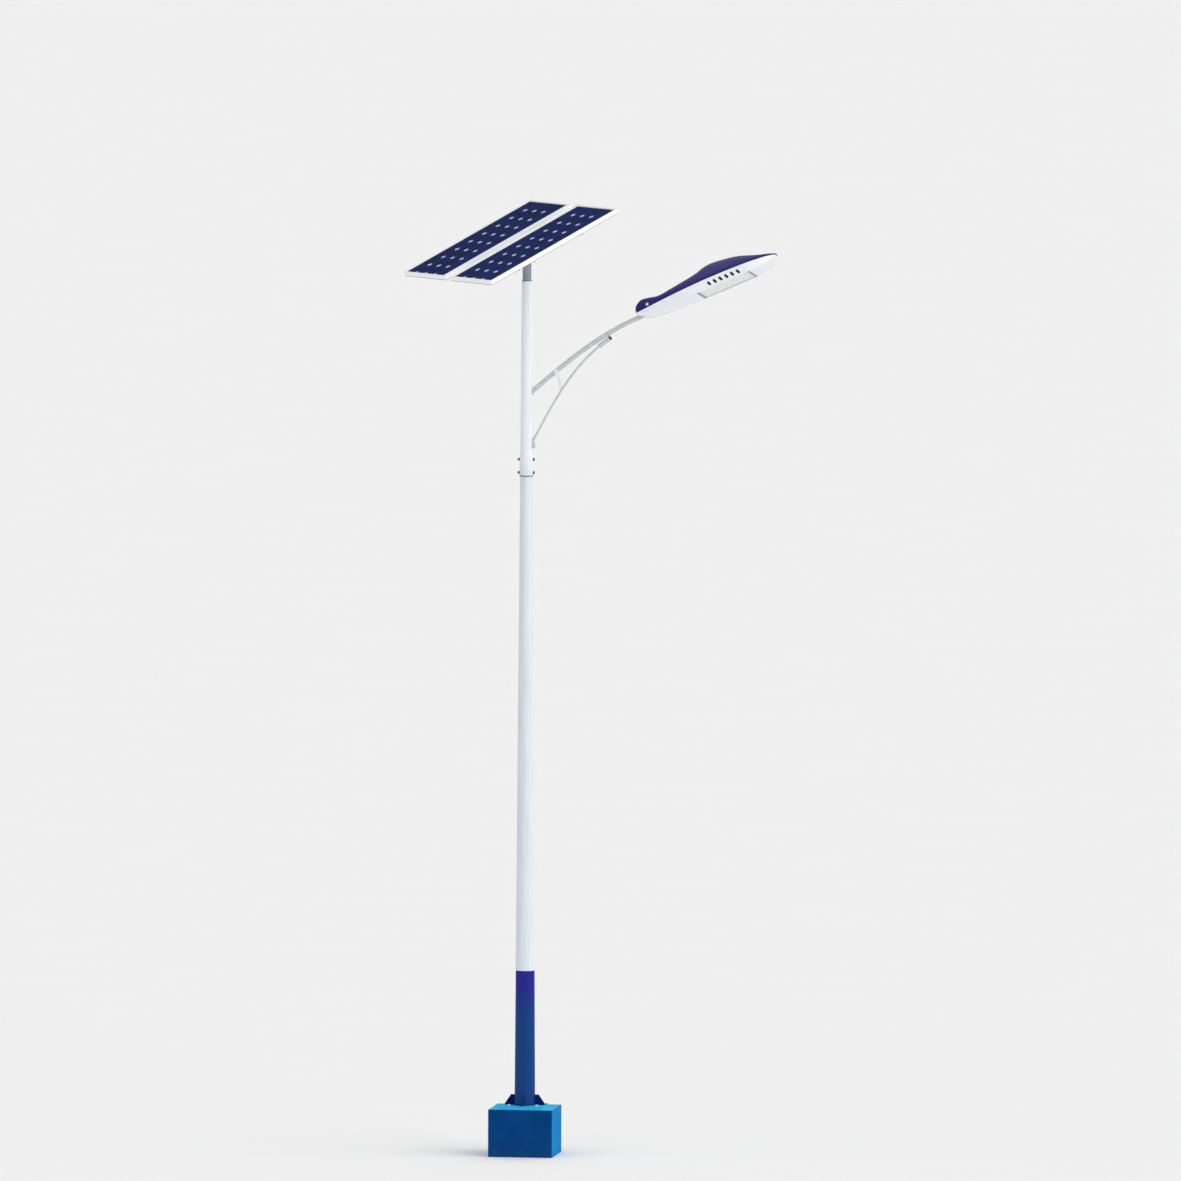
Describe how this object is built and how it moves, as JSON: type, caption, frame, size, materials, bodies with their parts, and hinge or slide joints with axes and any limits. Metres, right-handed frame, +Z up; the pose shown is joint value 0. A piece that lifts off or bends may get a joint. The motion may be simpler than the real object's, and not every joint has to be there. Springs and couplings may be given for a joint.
{
  "type": "solar street lamp",
  "caption": "Solar street lamp: battery cabinet, tapered pole, braced arm with a hinged cobra-head LED luminaire, and photovoltaic modules on a turning, tilting mast head.",
  "frame": {"origin": "middle of the battery cabinet's underside, on the ground", "axes": "+Z up, +X along the lamp arm away from the pole, +Y towards the cabinet's door"},
  "size_m": [2.7312, 1.5946, 6.904],
  "materials": {
    "blue_paint": "gloss powder coat",
    "pole_paint": "satin powder coat, deep blue on the lowest metre",
    "galvanised": "hot-dip galvanised",
    "grey_steel": "satin grey",
    "dark_steel": "weathered zinc",
    "stainless": "stainless",
    "navy_cover": "gloss powder coat",
    "white_casting": "gloss powder coat on die casting",
    "anodised": "anodised",
    "solar_glass": "anti-reflective glass over solar cells",
    "lens_glass": "clear tempered glass",
    "aluminium": "mill finish",
    "battery_case": "moulded ABS",
    "black_plastic": "moulded",
    "red_plastic": "moulded",
    "rubber": "EPDM"
  },
  "bodies": {
    "column": {"cabinet_shell": "blue_paint", "cabinet_base_plate": "galvanised", "cabinet_frame": "galvanised", "battery_tray": "galvanised", "battery_1": "battery_case", "battery_2": "battery_case", "battery_strap": "galvanised", "charge_controller": "aluminium", "door_hinge_pin": "stainless", "pole_flange": "blue_paint", "gusset_1": "blue_paint", "gusset_2": "blue_paint", "gusset_3": "blue_paint", "gusset_4": "blue_paint", "flange_bolt_1": "stainless", "flange_bolt_2": "stainless", "flange_bolt_3": "stainless", "flange_bolt_4": "stainless", "lower_pole": "pole_paint", "upper_pole": "pole_paint", "sleeve_bolt_1": "dark_steel", "sleeve_bolt_2": "dark_steel", "sleeve_nut_1": "dark_steel", "sleeve_nut_2": "dark_steel", "azimuth_lock_bolt": "stainless", "arm_tube": "galvanised", "arm_brace": "galvanised", "brace_socket": "galvanised", "brace_strut": "pole_paint", "brace_lug": "galvanised"},
    "controller_button": {"controller_button": "red_plastic"},
    "cabinet_door": {"cabinet_door": "blue_paint", "door_gasket": "rubber"},
    "door_lock": {"door_lock": "stainless"},
    "mast_head": {"mast_stub": "grey_steel", "tilt_clevis": "galvanised", "tilt_bolt": "stainless", "tilt_nut": "stainless"},
    "module_table": {"tilt_knuckle": "galvanised", "support_beam": "galvanised", "panel_rail_1": "aluminium", "panel_rail_2": "aluminium", "module_frame_1": "anodised", "module_frame_2": "anodised", "module_laminate_1": "solar_glass", "module_laminate_2": "solar_glass", "junction_box_1": "black_plastic", "junction_box_2": "black_plastic"},
    "luminaire": {"head_housing": "white_casting", "spigot_clamp": "white_casting", "lens_glass": "lens_glass", "led_board": "aluminium", "heat_sink": "aluminium", "led_driver": "anodised", "lens_end_bar_1": "grey_steel", "lens_end_bar_2": "grey_steel", "cover_hinge_pin": "stainless"},
    "luminaire_cover": {"head_cover": "navy_cover", "cover_screw_1": "stainless", "cover_screw_2": "stainless"}
  },
  "joints": [
    {"name": "panel_azimuth", "type": "hinge", "parent": "column", "child": "mast_head", "pos_m": [0, 0, 6.361], "axis": [0, 0, 1], "range_deg": [-90, 75]},
    {"name": "panel_tilt", "type": "hinge", "parent": "mast_head", "child": "module_table", "pos_m": [0, 0, 6.556], "axis": [0.6691, -0.7431, 0], "range_deg": [-24, 36]},
    {"name": "head_roll", "type": "hinge", "parent": "column", "child": "luminaire", "pos_m": [0.823, 0, 6.105], "axis": [0.9171, 0, 0.3987], "range_deg": [-2, 28]},
    {"name": "cover_lift", "type": "hinge", "parent": "luminaire", "child": "luminaire_cover", "pos_m": [0.81713, 0.00765, 6.13857], "axis": [-0.0897, -0.9744, 0.2063], "range_deg": [0, 55]},
    {"name": "door_swing", "type": "hinge", "parent": "column", "child": "cabinet_door", "pos_m": [-0.222, 0.243, 0.172], "axis": [0, 0, 1], "range_deg": [0, 110]},
    {"name": "lock_turn", "type": "hinge", "parent": "cabinet_door", "child": "door_lock", "pos_m": [0.178, 0.243, 0.172], "axis": [0, -1, 0], "range_deg": [0, 90]},
    {"name": "button_press", "type": "slide", "parent": "column", "child": "controller_button", "axis": [0, -1, 0], "range_m": [0, 0.0015], "stiffness_N_per_m": 300}
  ]
}
